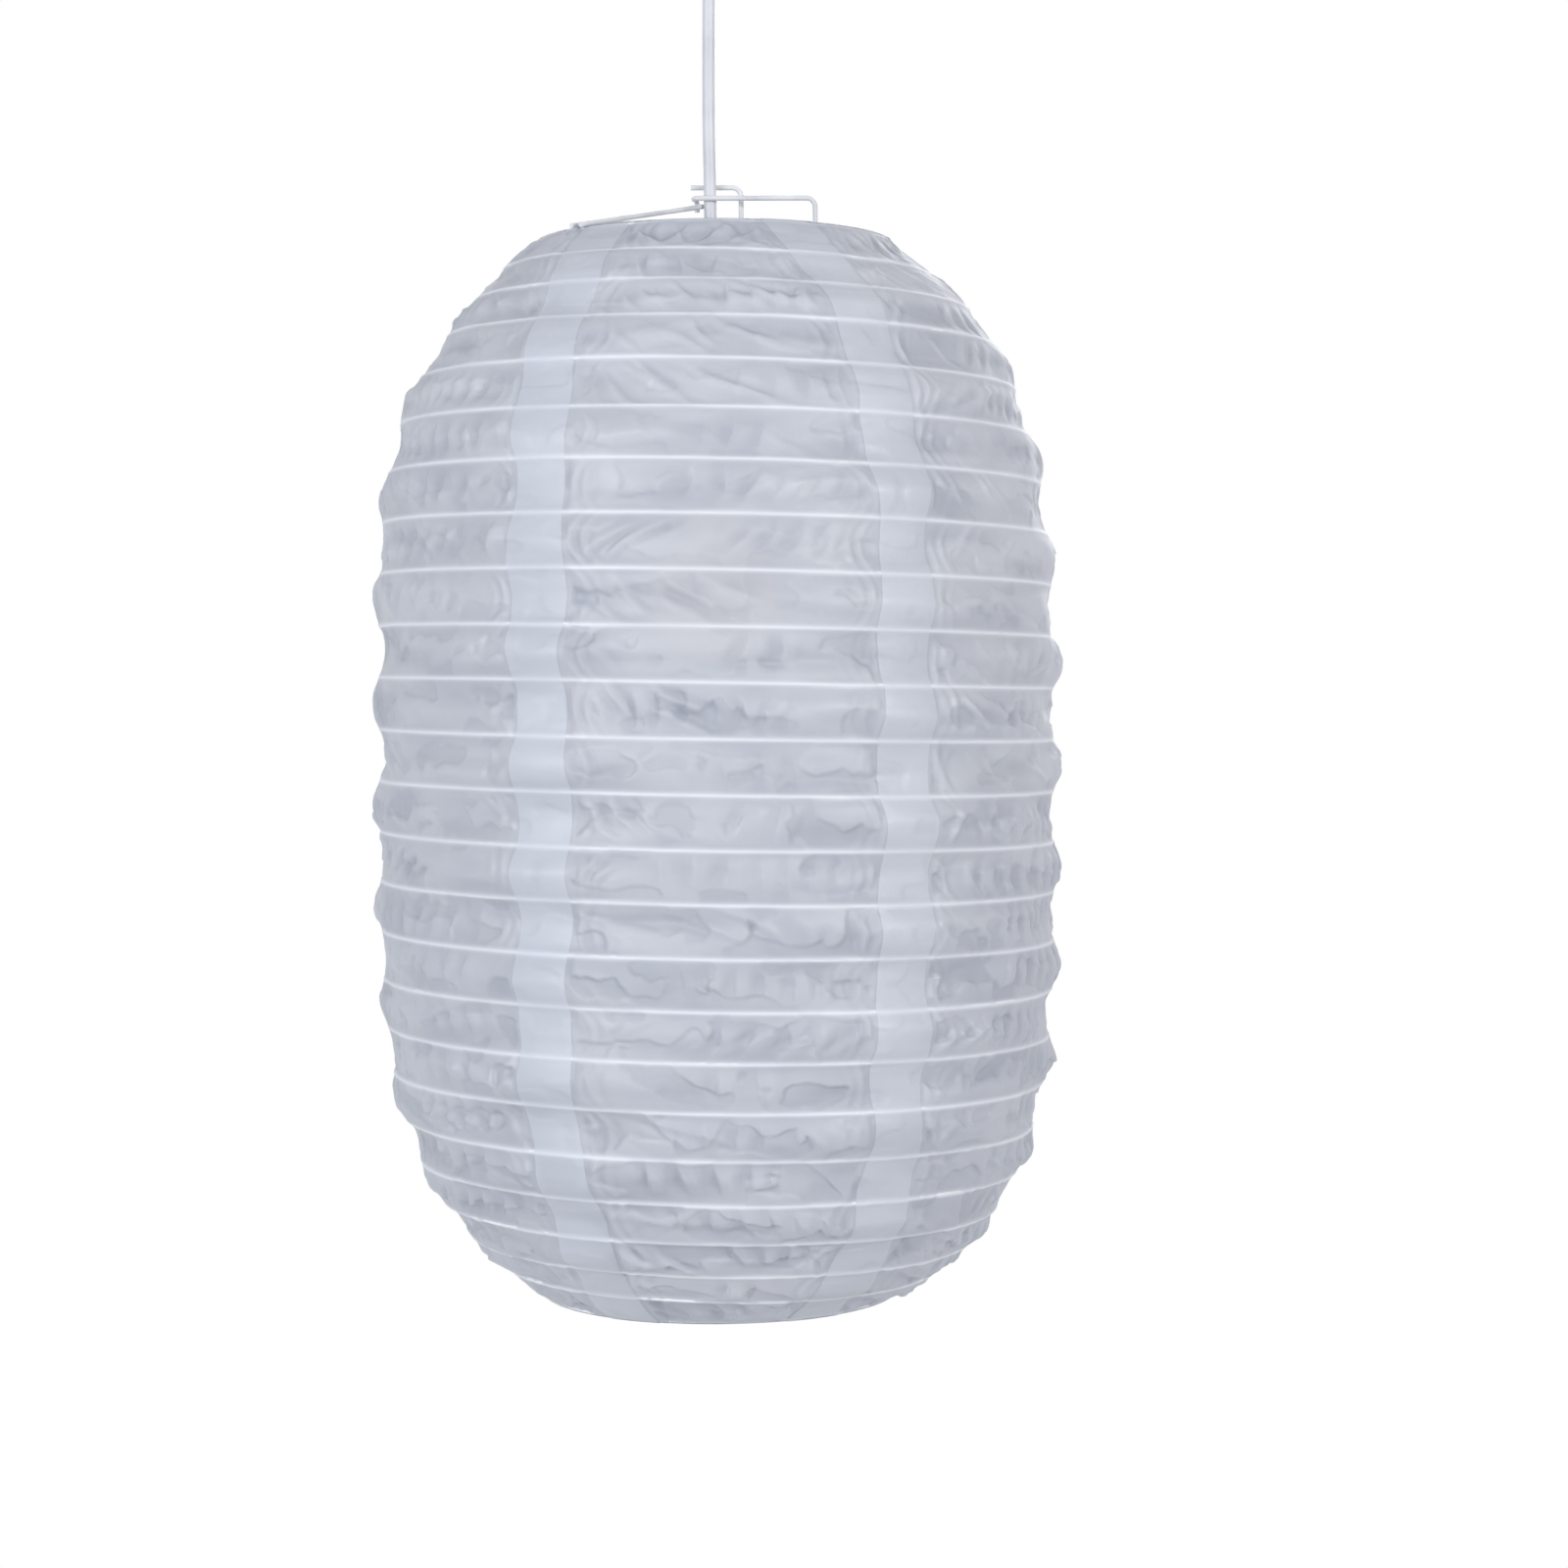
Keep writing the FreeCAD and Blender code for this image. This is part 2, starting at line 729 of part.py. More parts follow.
# ---------------------------------------------------------------- bulb
def make_bulb_cap():
    """Screw cap with its end contact, and a flange inside the globe's neck."""
    flange = "globe_neck_radius - globe_wall - bulb_fit"
    barrel = "bulb_flange_height + bulb_cap_height - bulb_tip_height"
    outline = [
        ("0", "0"),
        (flange, "0"),
        (flange, "bulb_flange_height"),
        ("bulb_cap_radius", "bulb_flange_height"),
        ("bulb_cap_radius", barrel),
        ("bulb_tip_radius", barrel),
        ("bulb_tip_radius", barrel + " + bulb_tip_height"),
        ("0", barrel + " + bulb_tip_height"),
    ]
    make_turned("bulb_cap", outline, on_axis(NECK_END - size("bulb_flange_height")))


def add_sphere(label, radius):
    sphere = document.addObject("Part::Sphere", label)
    sphere.setExpression("Radius", bound_sum(radius))
    sphere.Placement = Placement(on_axis(GLOBE_CENTRE), Rotation())
    return sphere


def make_bulb_globe():
    """A thin glass globe, open at its neck."""
    upright = Placement(on_axis(GLOBE_CENTRE), Rotation())
    outer = document.addObject("Part::Fuse", "globe_outside")
    outer.Base = add_sphere("globe_ball", "globe_radius")
    outer.Tool = add_cylinder(
        "globe_neck", "globe_neck_radius", "globe_neck_rise", upright
    )
    inner = document.addObject("Part::Fuse", "globe_inside")
    inner.Base = add_sphere("globe_hollow", "globe_radius - globe_wall")
    inner.Tool = add_cylinder(
        "globe_throat", "globe_neck_radius - globe_wall", "globe_neck_rise + overrun", upright
    )
    globe = document.addObject("Part::Cut", "bulb_globe")
    globe.Base = outer
    globe.Tool = inner
    parts.append(globe)


# ---------------------------------------------------------------- build and write
def make_lantern():
    for ring in range(BAND_COUNT + 1):
        make_ring(ring)
    make_fabric()
    make_front_arm()
    make_back_arm()
    make_cross_bar()
    make_left_leg()
    make_rim_arm()
    make_foot_bar()
    make_foot_sleeves()
    make_hanging_eye()
    make_cord()
    make_cord_stop()
    make_socket()
    make_bulb_cap()
    make_bulb_globe()


def check_document():
    for item in document.Objects:
        if "Invalid" in item.State or "Error" in item.State:
            raise ValueError(f"{item.Label} failed: {item.State}")
    for part in parts:
        if part.Shape.isNull() or not part.Shape.isValid():
            raise ValueError(f"{part.Label} has no valid shape")


def write_parts():
    os.makedirs("parts", exist_ok=True)
    for part in parts:
        part.Shape.exportStep(f"parts/{part.Label}.step")


make_lantern()
document.recompute()
check_document()
write_parts()
print(len(parts), "parts")
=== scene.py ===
"""The looks of a white nylon accordion lantern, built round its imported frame.

Metres, +Z up. An azimuth is in radians: 0 points at the camera (-Y), and it grows
towards +X. A "band" is the cloth between one ring and the next, band 0 being under
the top rim.
"""

import math

import bpy
import numpy as np
from mathutils import Matrix, Vector


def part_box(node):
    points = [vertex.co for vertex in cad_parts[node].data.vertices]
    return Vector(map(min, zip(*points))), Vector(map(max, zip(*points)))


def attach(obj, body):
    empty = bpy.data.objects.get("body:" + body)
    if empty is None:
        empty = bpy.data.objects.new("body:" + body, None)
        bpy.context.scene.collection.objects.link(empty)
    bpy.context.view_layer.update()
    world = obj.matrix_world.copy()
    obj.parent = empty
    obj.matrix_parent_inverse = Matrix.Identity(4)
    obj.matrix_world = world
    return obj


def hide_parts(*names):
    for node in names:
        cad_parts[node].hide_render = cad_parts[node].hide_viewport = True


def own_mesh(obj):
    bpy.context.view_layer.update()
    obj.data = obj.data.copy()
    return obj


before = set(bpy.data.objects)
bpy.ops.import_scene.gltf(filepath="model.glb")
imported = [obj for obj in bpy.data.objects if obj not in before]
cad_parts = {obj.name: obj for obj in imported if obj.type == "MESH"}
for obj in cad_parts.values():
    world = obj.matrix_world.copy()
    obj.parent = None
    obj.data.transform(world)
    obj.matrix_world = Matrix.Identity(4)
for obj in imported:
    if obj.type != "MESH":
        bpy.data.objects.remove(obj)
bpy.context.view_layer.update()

MM = 0.001
BAND_COUNT = 24
GORE_COUNT = 6
FIRST_SEAM = math.radians(-29.0)    # between gores 6 and 1
SEAM_PITCH = 2 * math.pi / GORE_COUNT
TAPE_WIDTH = 20 * MM
RIB_WIRE = 0.6 * MM         # radius
RIM_WIRE = 1.0 * MM         # radius
CLOTH_LIFT = 0.15 * MM      # of the cloth over the wire it covers
TAPE_LIFT = 0.16 * MM       # of a tape's middle over the bare cloth
TAPE_EDGE_LIFT = 0.05 * MM  # and of its edges
TAPE_BED = 0.12 * MM        # how far the cloth lies deeper under a tape
TAPE_HOLD = (1.0, 3.2)      # in mm: how far beside a tape's edge it holds the cloth down
TOP_TWIST = math.radians(-7.5)      # of the cloth; the top rim has nine tenths of it
RIB_STEP = 0.45 * MM        # how far the cloth stands out over a rib,
RIB_REACH = 0.9 * MM        # and how far from the rib it starts to
RIB_GLOW = 0.75 * MM        # reach of the bright line that a rib makes
HEM_DEPTH = 6 * MM          # of the hem that hangs inside a rim,
HEM_WAVE = 0.4 * MM         # and how far it waves
GAP_SHARE = 0.05            # of the cloth, between its threads
TRANSLUCENCY = 0.28         # share of the light that its threads pass on
GORE_COLUMNS = 161
TAPE_COLUMNS = 21
MIDDLE_ROWS = 17            # of a band's mesh, besides those next to its ribs


# ------------------------------------------------------------------ camera
EYE = Vector((0.0024, -1.150, -0.268))      # a little above the lantern's middle
TARGET = Vector((0.0249, 0, -0.303))
ROLL = math.radians(0.35)
SENSOR_WIDTH = 36       # in mm, as the focal length is
FOCAL_LENGTH = 73.7


def add_camera():
    data = bpy.data.cameras.new("camera")
    data.sensor_width = SENSOR_WIDTH
    data.lens = FOCAL_LENGTH
    camera = bpy.data.objects.new("camera", data)
    bpy.context.scene.collection.objects.link(camera)
    look = (TARGET - EYE).to_track_quat("-Z", "Y").to_matrix().to_4x4()
    camera.matrix_world = Matrix.Translation(EYE) @ look @ Matrix.Rotation(-ROLL, 4, "Z")
    bpy.context.scene.camera = camera


add_camera()


# ------------------------------------------------------------------ helpers
def link(thing):
    bpy.context.scene.collection.objects.link(thing)
    return thing


def chance(*key):
    """A random generator that is always the same for the same key.

    A key's first number is arbitrary, and keeps one use apart from the others.
    """
    return np.random.default_rng(key)


def smooth_noise(x, y, seed):
    """Value noise from -1 to 1 on a unit lattice."""
    side = 64
    table = chance(seed).uniform(-1, 1, (side, side))
    column = np.floor(x).astype(int)
    row = np.floor(y).astype(int)
    across = x - column
    down = y - row
    across = across * across * (3 - 2 * across)
    down = down * down * (3 - 2 * down)
    left, right = column % side, (column + 1) % side
    top, bottom = row % side, (row + 1) % side
    upper = table[top, left] * (1 - across) + table[top, right] * across
    lower = table[bottom, left] * (1 - across) + table[bottom, right] * across
    return upper * (1 - down) + lower * down


def smooth_step(value, low, high):
    share = np.clip((value - low) / (high - low), 0, 1)
    return share * share * (3 - 2 * share)


def hump(distance, reach):
    return np.exp(-(distance / reach) ** 2)


# ------------------------------------------------------------------ rings
class Ring:
    """A rim or rib of the frame: its centre, radius, wire and tilt, from its box."""

    def __init__(self, node, wire):
        low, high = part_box(node)
        self.wire = wire
        self.centre = np.array((low + high) / 2)
        self.radius = (high.y - low.y) / 2 - wire
        rise = max(0.0, (high.z - low.z) / 2 - wire)
        self.tilt = math.asin(rise / self.radius)

    def point(self, azimuth, outward, upward):
        """A point near the wire, seen from the wire's own middle."""
        radius = self.radius + outward
        x = radius * np.sin(azimuth)
        y = -radius * np.cos(azimuth)
        z = np.broadcast_to(upward, x.shape)
        turned_x = x * math.cos(self.tilt) + z * math.sin(self.tilt)
        turned_z = z * math.cos(self.tilt) - x * math.sin(self.tilt)
        return np.stack([turned_x, y, turned_z], axis=-1) + self.centre


def read_rings():
    rings = [Ring("top_rim", RIM_WIRE)]
    for index in range(1, BAND_COUNT):
        rings.append(Ring(f"rib_{index:02d}", RIB_WIRE))
    rings.append(Ring("bottom_rim", RIM_WIRE))
    return rings


RINGS = read_rings()
AXIS = RINGS[0].centre
TOP_Z = RINGS[0].centre[2]


def band_slope(band):
    """Unit vector (outward, upward) down the band, and the band's width."""
    upper, lower = RINGS[band], RINGS[band + 1]
    run = lower.radius - upper.radius
    rise = lower.centre[2] - upper.centre[2]
    width = math.hypot(run, rise)
    return run / width, rise / width, width


BAND_WIDTHS = [band_slope(band)[2] for band in range(BAND_COUNT)]


def band_radius(band, share):
    return RINGS[band].radius * (1 - share) + RINGS[band + 1].radius * share


def ring_normal(index):
    """Outward direction of the cloth where it lies on this ring."""
    near = [band for band in (index - 1, index) if 0 <= band < BAND_COUNT]
    outward = -sum(band_slope(band)[1] for band in near)
    upward = sum(band_slope(band)[0] for band in near)
    length = math.hypot(outward, upward)
    return outward / length, upward / length


# ------------------------------------------------------------------ seams
EDGE_SWAY = 1.8     # how far a tape's two edges wander, in mm: slowly from rib to rib,
EDGE_JITTER = 1.4   # by chance at each rib,
EDGE_BOW = 0.6      # and between two ribs


def seam_azimuth(seam):
    return FIRST_SEAM + SEAM_PITCH * seam


def twist(band, share):
    """How far the cloth is turned: most at the top, and not at all from band 7 down."""
    return TOP_TWIST * (1 - smooth_step(band + share, -1.5, 6.5))


def edge_wander(seam, side, ring):
    """How far a tape's edge is out of place where it crosses this ring, in mm."""
    seam = seam % GORE_COUNT
    sway = smooth_noise(np.array([ring / 4]), np.array([7.0 * seam]), seed=22)[0]
    jitter = chance(31, seam, side + 1, ring).uniform(-EDGE_JITTER, EDGE_JITTER)
    return EDGE_SWAY * sway + jitter


def tape_edge(seam, side, band, share):
    """Distance of a tape's edge from the seam: straight runs, kinked at the ribs."""
    above = edge_wander(seam, side, band)
    below = edge_wander(seam, side, band + 1)
    bow = chance(32, seam % GORE_COUNT, side + 1, band).uniform(-EDGE_BOW, EDGE_BOW)
    wander = above * (1 - share) + below * share + bow * 4 * share * (1 - share)
    return side * TAPE_WIDTH / 2 + wander * MM


# ------------------------------------------------------------------ folds
# Lengths here are in mm. x is measured along the cloth from the gore's left seam,
# share goes down the band from 0 to 1, and wide is the band's width from rib to rib.
# luck is the band's own random generator, and each fold function returns heights.
def crease(x, share, wide, start, sweep, power):
    """A fold along the curve x = start + sweep * share ** power: a ridge and its lee."""
    share = np.maximum(share, 0.001)
    centre = start + sweep * share ** power
    slope = sweep * power * share ** (power - 1) / wide
    distance = (x - centre) / np.sqrt(1 + slope * slope)
    return hump(distance, 1.5) - 0.7 * hump(distance - 2.6, 1.7)


def fan_folds(luck, x, share, wide, upside_down):
    """Creases that spread from the corner where a tape meets the rib."""
    if upside_down:
        share = 1 - share
    total = 0
    start = luck.uniform(11, 18)
    boldness = luck.choice([0.25, 0.6, 1.0])
    warp = 2.2 * smooth_noise(x / 9, share * 2 + luck.uniform(0, 50), seed=40)
    for step in range(luck.integers(1, 6)):
        sweep = luck.uniform(3, 18) + 7 * step
        bend = luck.uniform(1.0, 2.2)
        middle = luck.uniform(0.2, 0.8)
        reach = luck.uniform(0.22, 0.42)
        height = luck.uniform(0.4, 1.5)
        fold = crease(x + warp, share, wide, start, sweep, bend)
        total = total + height * fold * hump(share - middle, reach)
        start += luck.uniform(4, 16)
    return boldness * total


def side_folds(luck, x, share, edge, side):
    """Bracket-shaped creases close beside a tape."""
    bulge = luck.uniform(2.5, 5.5) * luck.choice([-1, 1])
    total = 0
    for step, fading in enumerate((1, 0.5)):
        start = 2.5 + 4.5 * step + max(0, -bulge)
        curve = start + bulge * 4 * share * (1 - share)
        distance = (x - edge) * side - curve
        fold = hump(distance, 1.2) - 0.6 * hump(distance - 2.2, 1.5)
        total = total + fold * luck.uniform(0.1, 0.9) * fading
    return total


def wave_folds(luck, x, share, wide, span):
    """A row of leaning puckers, like breaking waves."""
    left = span * luck.uniform(0.2, 0.5)
    right = span * luck.uniform(0.65, 0.92)
    pitch = luck.uniform(8.5, 12)
    lean = luck.uniform(-0.3, 0.9) * wide
    middle = luck.uniform(0.35, 0.6)
    warp = 2.5 * smooth_noise(x / 13 + luck.uniform(0, 50), share * 1.5, seed=41)
    phase = 2 * math.pi * (x + warp + lean * share * share) / pitch
    wave = 2 * smooth_step(np.sin(phase + 0.8 * np.sin(phase)), -0.45, 0.35) - 1
    within = smooth_step(x, left, left + 8) * (1 - smooth_step(x, right - 8, right))
    height = luck.uniform(0.35, 0.75)
    return height * wave * within * hump(share - middle, 0.3)


def long_folds(luck, x, share, wide):
    """Soft folds that run along the band, and broad hollows between them."""
    own = luck.uniform(0, 60)
    down = share * wide
    warp = 2.0 * smooth_noise(x / 17 + own, down / 9, seed=42)
    folds = 0.85 * smooth_noise(x / 33 + own, (down + warp) / 4.8 + own, seed=43)
    hollows = 0.70 * smooth_noise(x / 16 + own, down / 9 + own, seed=44)
    return folds + hollows


def facets(luck, x, share, wide):
    """Flat patches at two depths, with crisp edges, and a few fine puckers."""
    own = luck.uniform(0, 60)
    down = share * wide
    warp = 4 * smooth_noise(x / 9 + own, down / 7, seed=46)
    field = smooth_noise((x + warp) / 15 + own, (down + 0.6 * warp) / 6.5 + own, seed=45)
    ragged = smooth_noise((x - warp) / 4.5 + own, (down + warp) / 4.5, seed=47)
    level = smooth_step(field + 0.35 * ragged, -0.31, -0.15)
    puckered = np.clip(2 * smooth_noise(x / 24 + own, down / 16 + own, seed=51), 0, 1)
    return 0.85 * level - 0.5 + 0.3 * puckered * ragged


def gathers(luck, x, share, band):
    """Cloth drawn in towards the rims, in the two bands next to each."""
    if 2 <= band < BAND_COUNT - 2:
        return 0
    from_rim = band + share if band < 2 else BAND_COUNT - band - share
    drawn = hump(from_rim, 1.1)
    own = luck.uniform(0, 60)
    pleats = smooth_noise(x / 3.6 + own, from_rim * 0.8, seed=48)
    return 0.55 * drawn * pleats


def gore_folds(gore, band, x, share, span):
    """All the folds of one gore in one band. The lower bands are creased most."""
    wide = BAND_WIDTHS[band] / MM
    luck = chance(51, gore % GORE_COUNT, band)
    left = tape_edge(gore, 1, band, share) / MM
    right = span + tape_edge(gore + 1, -1, band, share) / MM
    lower = smooth_step(band, 10, 16)
    creasing = 0.45 + 0.55 * smooth_step(band, 3, 11) + 0.25 * lower
    total = long_folds(luck, x, share, wide) + creasing * facets(luck, x, share, wide)
    total = total + fan_folds(luck, x, share, wide, luck.random() < 0.25)
    if luck.random() < 0.5:
        total = total + 0.7 * fan_folds(luck, span - x, share, wide, luck.random() < 0.6)
    total = total + side_folds(luck, x, share, left, 1)
    total = total + 0.6 * side_folds(luck, x, share, right, -1)
    if luck.random() < 0.6 + 0.4 * lower:
        total = total + (1 + 0.5 * lower) * wave_folds(luck, x, share, wide, span)
    return total + gathers(luck, x, share, band)


def tape_folds(seam, band, along, share):
    """The double cloth under a tape only takes soft folds across the tape."""
    own = chance(52, seam % GORE_COUNT, band).uniform(0, 60)
    down = share * BAND_WIDTHS[band] / MM
    folds = smooth_noise(along / 30 + own, down / 4.5 + own, seed=49)
    kinks = smooth_step(smooth_noise(along / 10 + own, down / 6 + own, seed=50), -0.3, -0.1)
    return 0.45 * folds + 0.35 * kinks


# ------------------------------------------------------------------ cloth
SWING = 2.3         # how far the middle of a band swells out and in, in mm,
LOOSENESS = 0.8     # by chance besides,
SWELL = 0.5         # and on average


def scallop(azimuth, band, share):
    """Each band swells out or in, turn about, and changes over from seam to seam."""
    left_seam = FIRST_SEAM - SEAM_PITCH
    seam_wave = math.cos(math.pi * band) * np.cos(3 * (azimuth - left_seam))
    height = math.sin(math.pi * (band + 0.5) / BAND_COUNT) ** 0.6
    loose = smooth_noise(2 * np.sin(azimuth) + 3.1 * band, 2 * np.cos(azimuth), seed=11)
    depth = SWING * seam_wave + LOOSENESS * loose + SWELL
    return depth * MM * height * np.sin(math.pi * share)


def pinned(share):
    """Folds fade out at the ribs, which hold the cloth."""
    return np.maximum(0, np.sin(math.pi * share)) ** 0.6


def under_tape(seam, band, share, along):
    """1 where a tape covers the cloth, falling to 0 beside it."""
    left = (tape_edge(seam, -1, band, share) / MM) - along
    right = along - (tape_edge(seam, 1, band, share) / MM)
    return 1 - smooth_step(np.maximum(left, right), *TAPE_HOLD)


def gore_height(gore, band, azimuth, share):
    """How far the cloth of a gore stands out of the straight band, in metres."""
    radius = band_radius(band, share) / MM
    span = SEAM_PITCH * radius
    x = (azimuth - twist(band, share) - seam_azimuth(gore)) * radius
    on_left = under_tape(gore, band, share, x)
    on_right = under_tape(gore + 1, band, share, x - span)
    folds = (1 - on_left - on_right) * gore_folds(gore, band, x, share, span)
    folds = folds + on_left * tape_folds(gore, band, x, share)
    folds = folds + on_right * tape_folds(gore + 1, band, x - span, share)
    sunk = TAPE_BED * (on_left + on_right)
    return folds * pinned(share) * MM - sunk


def tape_height(seam, band, azimuth, share):
    turned = azimuth - twist(band, share) - seam_azimuth(seam)
    along = turned * band_radius(band, share) / MM
    to_edge = np.linspace(-1, 1, azimuth.shape[1]) ** 6
    lift = TAPE_LIFT * (1 - to_edge) + TAPE_EDGE_LIFT * to_edge
    return tape_folds(seam, band, along, share) * pinned(share) * MM + lift


def band_rows():
    """Shares of a band's width, closer together beside the ribs."""
    edge = [0.0, 0.022, 0.05, 0.09, 0.14]
    middle = list(np.linspace(0.185, 0.815, MIDDLE_ROWS))
    return edge + middle + [1 - share for share in reversed(edge[1:])]


def band_points(band, azimuth, share, height):
    """Points of the cloth; azimuth, share and height are grids of rows and columns."""
    upper, lower = RINGS[band], RINGS[band + 1]
    top_out, top_up = ring_normal(band)
    low_out, low_up = ring_normal(band + 1)
    top_gap = upper.wire + CLOTH_LIFT
    low_gap = lower.wire + CLOTH_LIFT
    start = upper.point(azimuth, top_gap * top_out, top_gap * top_up)
    end = lower.point(azimuth, low_gap * low_out, low_gap * low_up)
    run, rise, width = band_slope(band)
    radial = np.stack([np.sin(azimuth), -np.cos(azimuth), np.zeros_like(azimuth)], axis=-1)
    normal = radial * -rise + np.array([0, 0, run])
    to_rib = np.minimum(share, 1 - share) * width
    sunk = RIB_STEP * (1 - hump(to_rib, RIB_REACH))
    height = height + scallop(azimuth, band, share) - sunk
    share = share[..., None]
    return start * (1 - share) + end * share + normal * height[..., None]


def hem_rows(azimuth, index, lift):
    """The hem rolls round the rim wire and hangs a few millimetres inside it."""
    ring = RINGS[index]
    side = -1 if index == 0 else 1
    gap = ring.wire + CLOTH_LIFT + lift
    rows = []
    for step in range(1, 7):
        turn = math.pi * step / 6
        rows.append(ring.point(azimuth, gap * math.cos(turn), -side * gap * math.sin(turn)))
    wave = HEM_WAVE * smooth_noise(azimuth * 9, np.full_like(azimuth, index), seed=9)
    for drop in (HEM_DEPTH / 3, HEM_DEPTH * 2 / 3, HEM_DEPTH):
        rows.append(ring.point(azimuth, wave - HEM_WAVE / 2 - gap, side * drop))
    return rows


def grid_mesh(name, rows):
    """A sheet of quads from rows of points, smooth shaded, facing outwards."""
    points = np.stack(rows)
    row_count, column_count = points.shape[:2]
    numbers = np.arange(row_count * column_count).reshape(row_count, column_count)
    corners = (numbers[:-1, :-1], numbers[1:, :-1], numbers[1:, 1:], numbers[:-1, 1:])
    quads = np.stack(corners, axis=-1).reshape(-1, 4)
    mesh = bpy.data.meshes.new(name)
    mesh.from_pydata(points.reshape(-1, 3).tolist(), [], quads.tolist())
    mesh.polygons.foreach_set("use_smooth", [True] * len(mesh.polygons))
    mesh.update()
    return mesh


def add_value(mesh, name, values):
    attribute = mesh.attributes.new(name, "FLOAT", "POINT")
    attribute.data.foreach_set("value", np.asarray(values, np.float32).ravel())


def cloth_piece(name, azimuth_at, height_at, lift):
    """A strip of cloth from hem to hem, with its shade values for the material.

    azimuth_at and height_at give each band's grid of azimuths and of heights, and
    lift is how far the strip's hems lie over the bare cloth.
    """
    rows = []
    nearness = []
    crests = []
    for band in range(BAND_COUNT):
        shares = band_rows()
        if band < BAND_COUNT - 1:
            shares = shares[:-1]
        share = np.array(shares)[:, None]
        azimuth = azimuth_at(band, share)
        share = np.broadcast_to(share, azimuth.shape)
        height = height_at(band, azimuth, share)
        rows += list(band_points(band, azimuth, share, height))
        crests += list(height)
        to_rib = np.minimum(share[:, 0], 1 - share[:, 0]) * BAND_WIDTHS[band]
        nearness += list(hump(to_rib, RIB_GLOW))
        if band == 0:
            first = azimuth[0]
    top_hem = hem_rows(first, 0, lift)
    low_hem = hem_rows(azimuth[-1], BAND_COUNT, lift)
    columns = len(first)
    hem_nearness = [0.0] * len(top_hem)
    hem_crests = [np.zeros(columns)] * len(top_hem)
    mesh = grid_mesh(name, top_hem[::-1] + rows + low_hem)
    add_value(mesh, "rib_nearness", np.repeat(hem_nearness + nearness + hem_nearness, columns))
    # The fold heights, from which the material paints light on the crests and shade in the
    # hollows.
    add_value(mesh, "crest_height", np.stack(hem_crests + crests + hem_crests))
    # How far down the cloth each row is, for the painted shade low down.
    levels = np.linspace(0, 1, len(rows) + 2 * len(top_hem))
    add_value(mesh, "cloth_level", np.repeat(levels, columns))
    return link(bpy.data.objects.new(name, mesh))


def make_gore(index, material):
    azimuths = np.linspace(seam_azimuth(index), seam_azimuth(index + 1), GORE_COLUMNS)

    def azimuth_at(band, share):
        return azimuths + twist(band, share)

    def height_at(band, azimuth, share):
        return gore_height(index, band, azimuth, share)

    piece = cloth_piece(f"cloth_gore_{index + 1}", azimuth_at, height_at, 0.0)
    piece.data.materials.append(material)
    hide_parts(f"gore_{index + 1}")
    return piece


def make_tape(index, material):
    across = np.linspace(0, 1, TAPE_COLUMNS)

    def azimuth_at(band, share):
        left = tape_edge(index, -1, band, share)
        right = tape_edge(index, 1, band, share)
        along = left + (right - left) * across
        return seam_azimuth(index) + twist(band, share) + along / band_radius(band, share)

    def height_at(band, azimuth, share):
        return tape_height(index, band, azimuth, share)

    piece = cloth_piece(f"cloth_seam_tape_{index + 1}", azimuth_at, height_at, TAPE_LIFT)
    piece.data.materials.append(material)
    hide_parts(f"seam_tape_{index + 1}")
    return piece


def fold_with_lantern(piece):
    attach(piece, "lantern_frame")
    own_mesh(piece)


# ------------------------------------------------------------------ materials
class Shader:
    """A material's node tree, with short calls for what the materials here use."""

    def __init__(self, name):
        self.material = bpy.data.materials.new(name)
        self.material.use_nodes = True
        self.nodes = self.material.node_tree.nodes
        self.links = self.material.node_tree.links
        self.surface = self.nodes["Principled BSDF"]
        self.output = self.nodes["Material Output"]

    def add(self, kind, **settings):
        node = self.nodes.new(kind)
        for key, value in settings.items():
            setattr(node, key, value)
        return node

    def join(self, source, target):
        self.links.new(source, target)

    def set(self, **values):
        for key, value in values.items():
            self.surface.inputs[key.replace("_", " ")].default_value = value

    def place(self):
        return self.add("ShaderNodeTexCoord").outputs["Object"]

    def noise(self, scale, detail, stretch=None):
        texture = self.add("ShaderNodeTexNoise")
        texture.inputs["Scale"].default_value = scale
        texture.inputs["Detail"].default_value = detail
        source = self.place()
        if stretch:
            mapping = self.add("ShaderNodeMapping")
            mapping.inputs["Scale"].default_value = stretch
            self.join(source, mapping.inputs["Vector"])
            source = mapping.outputs["Vector"]
        self.join(source, texture.inputs["Vector"])
        return texture.outputs["Fac"]

    def remap(self, source, low, high, from_low=0.3, from_high=0.7):
        """Maps a number to another number."""
        node = self.add("ShaderNodeMapRange")
        node.inputs["From Min"].default_value = from_low
        node.inputs["From Max"].default_value = from_high
        node.inputs["To Min"].default_value = low
        node.inputs["To Max"].default_value = high
        self.join(source, node.inputs["Value"])
        return node.outputs["Result"]

    def tint(self, source, low, high, from_low=0.3, from_high=0.7):
        """Maps a number to a colour."""
        node = self.add("ShaderNodeValToRGB")
        node.color_ramp.elements[0].position = from_low
        node.color_ramp.elements[0].color = (*low, 1)
        node.color_ramp.elements[1].position = from_high
        node.color_ramp.elements[1].color = (*high, 1)
        self.join(source, node.inputs["Fac"])
        return node.outputs["Color"]

    def mix(self, share, source, colour):
        """Turns a source of colour towards a plain colour."""
        node = self.add("ShaderNodeMix", data_type="RGBA")
        self.join(share, node.inputs["Factor"])
        self.join(source, node.inputs["A"])
        node.inputs["B"].default_value = (*colour, 1)
        return node.outputs["Result"]

    def value_of(self, name):
        return self.add("ShaderNodeAttribute", attribute_name=name).outputs["Fac"]

    def bump(self, height, strength, distance, before=None):
        node = self.add("ShaderNodeBump")
        node.inputs["Strength"].default_value = strength
        node.inputs["Distance"].default_value = distance
        self.join(height, node.inputs["Height"])
        if before:
            self.join(before, node.inputs["Normal"])
        return node.outputs["Normal"]


